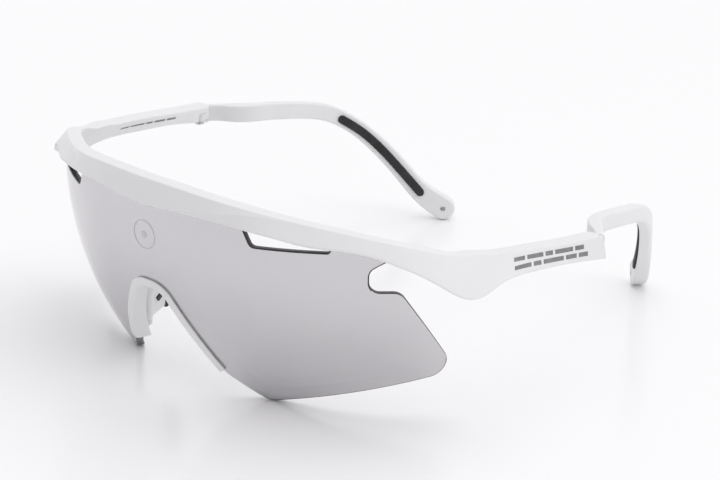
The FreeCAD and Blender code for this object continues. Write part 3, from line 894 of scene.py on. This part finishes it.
def dash_row(share, start, lengths, gap, tall):
    """Strips of the given lengths, one behind the other."""
    row = []
    for length in lengths:
        row.append((share, start, start + length, tall))
        start += length + gap
    return row


def lens_ring(height, radius, wide):
    """Flat ring lying on the lens."""
    turns = np.linspace(0, 2 * math.pi, RING_SIDES, endpoint=False)
    loops = [(radius + wide, MARK_PROUD), (radius - wide, MARK_PROUD),
             (radius - wide, -MARK_PROUD), (radius + wide, -MARK_PROUD)]
    points = [on_lens(r * np.cos(turns), height + r * np.sin(turns), proud) for r, proud in loops]
    faces = []
    for loop in range(4):
        this, following = loop * RING_SIDES, (loop + 1) % 4 * RING_SIDES
        for k in range(RING_SIDES):
            onward = (k + 1) % RING_SIDES
            faces.append((this + k, this + onward, following + onward, following + k))
    return work_solid(np.concatenate(points), faces)


def make_marks(print_grey, print_pale):
    """Plain dashes on the panels and a ring with a dot on the lens."""
    outer = dash_row(0.72, 40.5, MARK_UPPER, MARK_GAP, 0.5)
    outer += dash_row(0.39, 39.5, MARK_LOWER, MARK_GAP, 0.5)
    publish(panel_dashes(True, outer), "marks_outer", None, "front", [print_grey])
    inner = dash_row(0.55, 39.0, MARK_INNER, 0.7, 0.3)
    strips = panel_dashes(False, inner)
    publish(mirrored(strips), "marks_inner", None, "front", [print_grey])
    bpy.data.objects.remove(strips)
    ring = combine(lens_ring(MARK_RING_Z, 3.4, 0.17), lens_ring(MARK_RING_Z, 0.45, 0.4), "UNION")
    publish(ring, "marks_lens", None, "front", [print_pale])


# ---------------------------------------------------------------- studio
CAMERA_AZIMUTH = 43.464
CAMERA_ELEVATION = 20.332
CAMERA_ROLL = 1.409
CAMERA_DISTANCE = 699.78
CAMERA_TARGET = (19.837, 40.0, 30.172)
DIM_SIDE = (0.35, -0.90, 0.25)              # direction of the surround's dimmer part


def make_camera():
    azimuth, elevation, roll = map(math.radians, (CAMERA_AZIMUTH, CAMERA_ELEVATION, CAMERA_ROLL))
    back = Vector((math.sin(azimuth) * math.cos(elevation), -math.cos(azimuth) * math.cos(elevation),
                   math.sin(elevation)))
    level = Vector((math.cos(azimuth), math.sin(azimuth), 0))
    up = back.cross(level)
    right = level * math.cos(roll) + up * math.sin(roll)
    up = back.cross(right)
    data = bpy.data.cameras.new("camera")
    data.lens = 150
    data.sensor_width = 36
    data.clip_start = 0.01
    data.clip_end = 20
    camera = bpy.data.objects.new("camera", data)
    camera.matrix_world = Matrix((right, up, back)).transposed().to_4x4()
    camera.location = Vector(CAMERA_TARGET) * MM + SHIFT + back * CAMERA_DISTANCE * MM
    bpy.context.scene.collection.objects.link(camera)
    bpy.context.scene.camera = camera


def make_floor():
    bm = bmesh.new()
    bmesh.ops.create_grid(bm, x_segments=24, y_segments=24, size=6.0)
    mesh = bpy.data.meshes.new("floor")
    bm.to_mesh(mesh)
    bm.free()
    material, nodes, links, shader = new_material("pale_floor")
    tone = ramp(nodes, links, noise(nodes, links, 1.2), (0.935, 0.93, 0.94), (0.945, 0.94, 0.95))
    links.new(tone, shader.inputs["Base Color"])
    shader.inputs["Roughness"].default_value = 0.22
    mesh.materials.append(material)
    floor = bpy.data.objects.new("floor", mesh)
    floor.location.z = -0.0002
    bpy.context.scene.collection.objects.link(floor)


def make_world():
    """White surround, a little dimmer towards the front."""
    world = bpy.data.worlds.new("studio")
    world.use_nodes = True
    bpy.context.scene.world = world
    nodes, links = world.node_tree.nodes, world.node_tree.links
    place = nodes.new("ShaderNodeTexCoord")
    toward = nodes.new("ShaderNodeVectorMath")
    toward.operation = "DOT_PRODUCT"
    toward.inputs[1].default_value = DIM_SIDE
    links.new(place.outputs["Generated"], toward.inputs[0])
    sky = ramp(nodes, links, toward.outputs["Value"], (0.955, 0.95, 0.955), (0.72, 0.715, 0.725), 0.25, 0.9)
    background = nodes["Background"]
    links.new(sky, background.inputs["Color"])
    background.inputs["Strength"].default_value = 1.0


def area_light(name, place, target, size, watts):
    data = bpy.data.lights.new(name, "AREA")
    data.shape = "RECTANGLE"
    data.size, data.size_y = size
    data.energy = watts
    light = bpy.data.objects.new(name, data)
    light.location = place
    light.rotation_mode = "QUATERNION"
    light.rotation_quaternion = (Vector(target) - Vector(place)).to_track_quat("-Z", "Y")
    bpy.context.scene.collection.objects.link(light)


def make_lights():
    area_light("overhead", (0.1, 0.1, 1.6), (0, 0, 0), (1.8, 1.8), 4.2)
    area_light("side", (1.2, 0.4, 0.5), (0, 0, 0), (0.8, 0.8), 2.1)


# ---------------------------------------------------------------- scene
make_camera()
make_world()
make_lights()
make_floor()
white = white_nylon()
rubber = black_rubber()
make_lens(mirror_lens(), lens_edge())
make_brow(white)
make_arms(white, rubber)
make_nose(white, rubber)
make_marks(printed("mark_grey", (0.17, 0.17, 0.18), (0.24, 0.24, 0.25)),
           printed("mark_pale", (0.55, 0.55, 0.57), (0.63, 0.63, 0.65)))
dress_hardware()
bpy.context.scene.view_settings.view_transform = "Standard"
